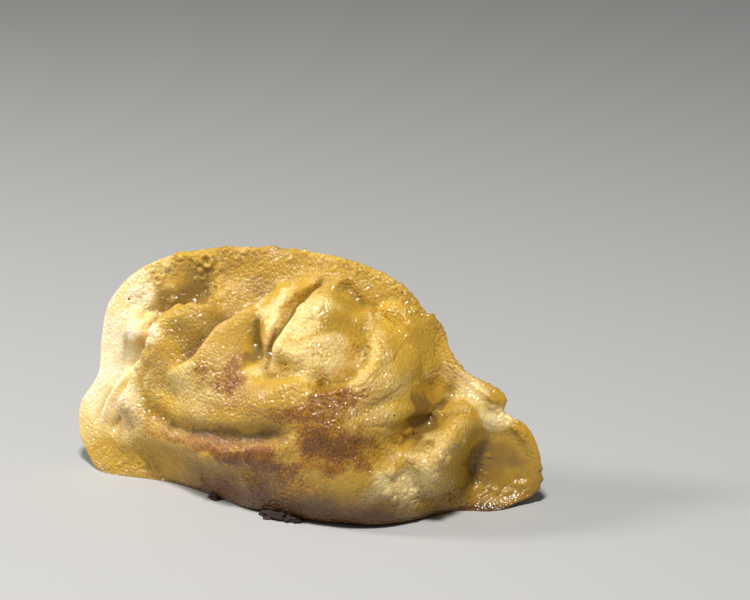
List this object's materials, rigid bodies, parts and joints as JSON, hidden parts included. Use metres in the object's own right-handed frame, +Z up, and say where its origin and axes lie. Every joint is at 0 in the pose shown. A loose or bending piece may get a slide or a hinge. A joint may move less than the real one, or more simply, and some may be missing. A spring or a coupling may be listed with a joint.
{
  "type": "gyoza",
  "caption": "Pan-fried half-moon dumpling: a plump pleated front, a thin wavy sealed rim along the top and a flat seared base it rests on.",
  "frame": {"origin": "on the ground under the middle of the dumpling, midway between its two ends and between its front and back", "axes": "+X along the length towards the narrow curled tip, the pleated belly faces -Y, +Z up from the flat base to the sealed rim"},
  "size_m": [0.0798, 0.0292, 0.0387],
  "materials": {
    "fried_dough": "pan-fried wheat dough: cream to golden, blistered, browned in patches and lightly oiled"
  },
  "bodies": {
    "root": {"gyoza": "fried_dough"}
  },
  "joints": []
}
